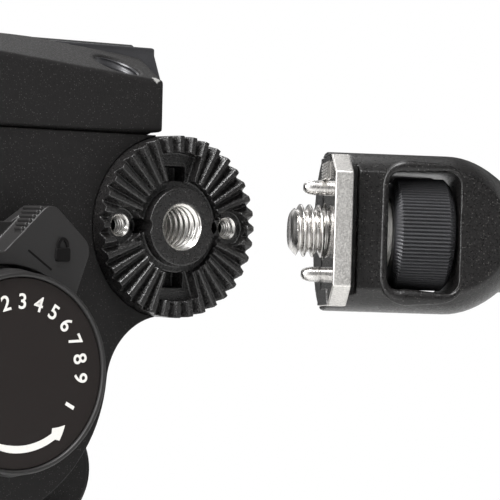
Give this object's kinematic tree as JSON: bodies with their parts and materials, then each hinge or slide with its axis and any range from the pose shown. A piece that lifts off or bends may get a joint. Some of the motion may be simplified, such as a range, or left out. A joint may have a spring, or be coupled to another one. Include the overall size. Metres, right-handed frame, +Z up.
{
  "type": "fluid video head",
  "caption": "Fluid video tripod head with tilting cradle, toothed accessory rosettes, sliding camera plate, drag knob, lock levers and a pan bar lying apart.",
  "frame": {"origin": "on the pan axis, at the bottom of the base", "axes": "+Z up along the pan axis, +X towards the operator, -Y the side of the tilt drag knob"},
  "size_m": [0.2748, 0.1848, 0.119],
  "materials": {
    "black_casting": "die-cast aluminium, black fine-textured powder coat",
    "black_rosette": "die-cast aluminium, black coarse-textured coat with machined tapped holes",
    "black_moulding": "moulded nylon, fine spark-eroded texture",
    "dial_print": "matt printed disc",
    "bare_aluminium": "machined, bead blasted",
    "dark_aluminium": "anodised black",
    "steel": "turned and bright",
    "bronze": "sintered bronze",
    "strip_rubber": "matt rubber strip",
    "grip_foam": "soft moulded rubber",
    "washer_nylon": "moulded natural nylon",
    "button_red": "moulded, red"
  },
  "bodies": {
    "base": {"base_plate": "black_casting", "base_insert": "steel", "pan_spindle": "steel", "pan_bearing": "bronze", "pan_nut": "steel"},
    "drag_ring": {"pan_drag_ring": "black_moulding"},
    "pan": {"pan_body": "black_casting", "hub_cover": "dark_aluminium", "hub_bushings": "bronze", "damper_cartridge": "dark_aluminium", "spring_cartridge": "dark_aluminium"},
    "pan_lock": {"pan_lock_lever": "black_moulding"},
    "cradle": {"cradle": "black_casting", "cradle_beam": "black_casting", "tilt_shaft": "steel", "rosette_near": "black_rosette", "rosette_far": "black_rosette", "rosette_screws": "steel", "clamp_body": "black_casting", "clamp_screws": "steel"},
    "tilt_lock": {"tilt_lock_lever": "black_moulding"},
    "drag_knob": {"drag_knob": "black_moulding", "drag_dial": "dial_print"},
    "counterbalance": {"counterbalance_knob": "black_moulding", "counterbalance_dial": "dial_print"},
    "shoe": {"clamp_shoe": "bronze"},
    "plate_lock": {"plate_lock_lever": "black_moulding"},
    "button": {"safety_button": "button_red"},
    "plate": {"sliding_plate": "dark_aluminium", "plate_pads": "strip_rubber"},
    "screw_quarter": {"camera_screw_quarter": "steel"},
    "screw_three_eighths": {"camera_screw_three_eighths": "steel"},
    "bar": {"bar_housing": "black_casting", "locating_plate": "bare_aluminium", "locating_pins": "steel", "bar_tube": "dark_aluminium", "bar_grip": "grip_foam", "bar_cap": "black_moulding"},
    "wheel": {"thumb_wheel": "dark_aluminium", "wheel_washer": "washer_nylon", "bar_screw": "steel"}
  },
  "joints": [
    {"name": "pan", "type": "hinge", "parent": "base", "child": "pan", "pos_m": [0, 0, 0.02], "axis": [0, 0, 1], "continuous": true},
    {"name": "pan_drag", "type": "hinge", "parent": "base", "child": "drag_ring", "pos_m": [0, 0, 0.014], "axis": [0, 0, 1], "range_deg": [0, 270]},
    {"name": "pan_lock", "type": "hinge", "parent": "pan", "child": "pan_lock", "pos_m": [-0.04, 0, 0.0249], "axis": [1, 0, 0], "range_deg": [-60, 0]},
    {"name": "tilt", "type": "hinge", "parent": "pan", "child": "cradle", "pos_m": [0, 0, 0.056], "axis": [0, 1, 0], "range_deg": [-60, 55]},
    {"name": "tilt_lock", "type": "hinge", "parent": "cradle", "child": "tilt_lock", "pos_m": [0, 0, 0.056], "axis": [0, 1, 0], "range_deg": [-75, 0]},
    {"name": "drag", "type": "hinge", "parent": "cradle", "child": "drag_knob", "pos_m": [0, 0, 0.056], "axis": [0, 1, 0], "range_deg": [0, 300]},
    {"name": "counterbalance", "type": "hinge", "parent": "cradle", "child": "counterbalance", "pos_m": [0, 0, 0.056], "axis": [0, 1, 0], "range_deg": [0, 270]},
    {"name": "plate_slide", "type": "slide", "parent": "cradle", "child": "plate", "axis": [1, 0, 0], "range_m": [-0.03, 0.02]},
    {"name": "plate_lock", "type": "hinge", "parent": "cradle", "child": "plate_lock", "pos_m": [-0.02, 0.04, 0.1016], "axis": [0, 1, 0], "range_deg": [-70, 0]},
    {"name": "shoe_slide", "type": "slide", "parent": "cradle", "child": "shoe", "axis": [0, 1, 0], "range_m": [0, 0.00082]},
    {"name": "safety_button", "type": "slide", "parent": "cradle", "child": "button", "axis": [0, -1, 0], "range_m": [0, 0.002], "stiffness_N_per_m": 500, "springref_m": -0.001},
    {"name": "screw_quarter_spin", "type": "hinge", "parent": "plate", "child": "screw_quarter", "pos_m": [-0.002, 0, 0.11], "axis": [0, 0, 1], "continuous": true},
    {"name": "screw_three_eighths_spin", "type": "hinge", "parent": "plate", "child": "screw_three_eighths", "pos_m": [-0.026, 0, 0.11], "axis": [0, 0, 1], "continuous": true},
    {"name": "bar_apart", "type": "slide", "parent": "cradle", "child": "bar", "axis": [0.8607, -0.509, 0], "range_m": [0, 0.04]},
    {"name": "wheel_spin", "type": "hinge", "parent": "bar", "child": "wheel", "pos_m": [0.07921, -0.04908, 0.08039], "axis": [0.8607, -0.509, -0.0105], "continuous": true}
  ],
  "couplings": [
    {"joint": "shoe_slide", "follows": "plate_lock", "m_per_rad": -0.00065481}
  ]
}
